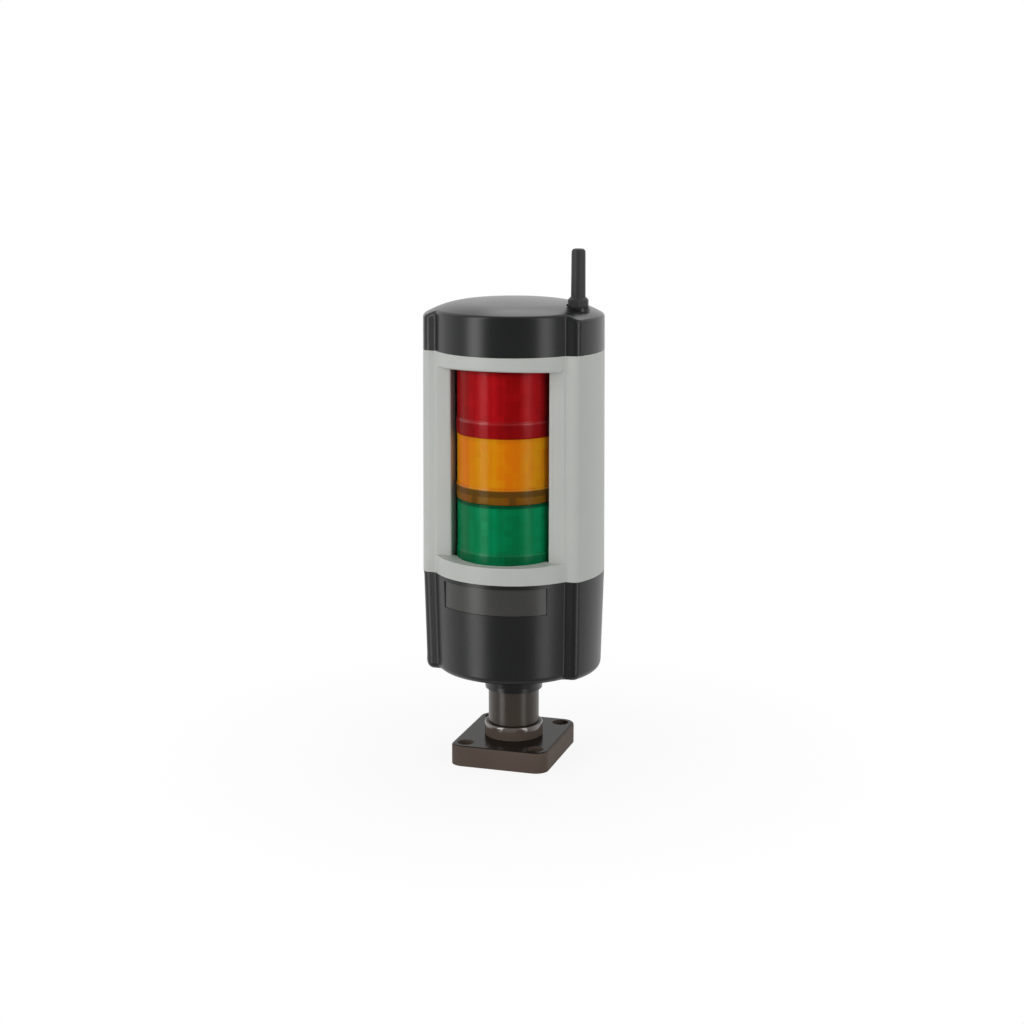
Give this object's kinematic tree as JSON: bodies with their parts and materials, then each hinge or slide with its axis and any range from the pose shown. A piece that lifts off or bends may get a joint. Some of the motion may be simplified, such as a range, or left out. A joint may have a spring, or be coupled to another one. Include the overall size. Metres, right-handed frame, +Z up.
{
  "type": "signal beacon",
  "caption": "Stack light with red, amber and green lenses behind a housing window, a domed cap with a stub antenna, and a short pole on a screw-down foot.",
  "frame": {"origin": "underside of the foot, on the pole's axis", "axes": "+Z up the pole; the window faces -Y; +X to the viewer's right"},
  "size_m": [0.1092, 0.1032, 0.31],
  "materials": {
    "foot_paint": "satin bronze-brown paint on die-cast metal",
    "pole_paint": "satin bronze-brown paint on drawn tube",
    "black_plastic": "satin black moulding with fine grain",
    "grey_plastic": "light grey moulding with a low sheen",
    "inner_plastic": "dark inner moulding",
    "red_lens": "clear red lens, fluted inside",
    "amber_lens": "clear amber lens, fluted inside",
    "green_lens": "clear green lens, fluted inside",
    "led_white": "white lamp carrier",
    "seal_rubber": "matt black seal",
    "antenna_rubber": "matt black rubber over the aerial",
    "screw_steel": "zinc-plated screws",
    "circuit_board": "green circuit board",
    "terminal_plastic": "terminal block moulding",
    "shield_tin": "tinned shield can",
    "connector_brass": "turned connector"
  },
  "bodies": {
    "stand": {"mounting_foot": "foot_paint", "foot_gasket": "seal_rubber", "foot_set_screw": "screw_steel", "pole_tube": "pole_paint"},
    "head": {"neck_collar": "black_plastic", "grip_ring": "inner_plastic", "base_housing": "black_plastic", "base_gasket": "seal_rubber", "window_housing": "grey_plastic", "cap_gasket": "seal_rubber", "cap": "black_plastic", "tie_screws": "screw_steel", "stack_base": "inner_plastic", "stack_screws": "screw_steel", "stack_cover": "inner_plastic", "power_board": "circuit_board", "board_screws": "screw_steel", "terminal_block": "terminal_plastic", "radio_board": "circuit_board", "radio_shield": "shield_tin", "radio_screws": "screw_steel", "antenna_connector": "connector_brass", "antenna_seal": "seal_rubber", "antenna_collar": "antenna_rubber", "antenna_stub": "antenna_rubber", "lens_green": "green_lens", "module_ring_green": "inner_plastic", "led_core_green": "led_white", "lens_amber": "amber_lens", "module_ring_amber": "inner_plastic", "led_core_amber": "led_white", "lens_red": "red_lens", "module_ring_red": "inner_plastic", "led_core_red": "led_white"}
  },
  "joints": [
    {"name": "head_swivel", "type": "hinge", "parent": "stand", "child": "head", "pos_m": [0, 0, 0.06], "axis": [0, 0, 1], "range_deg": [-170, 170]}
  ]
}
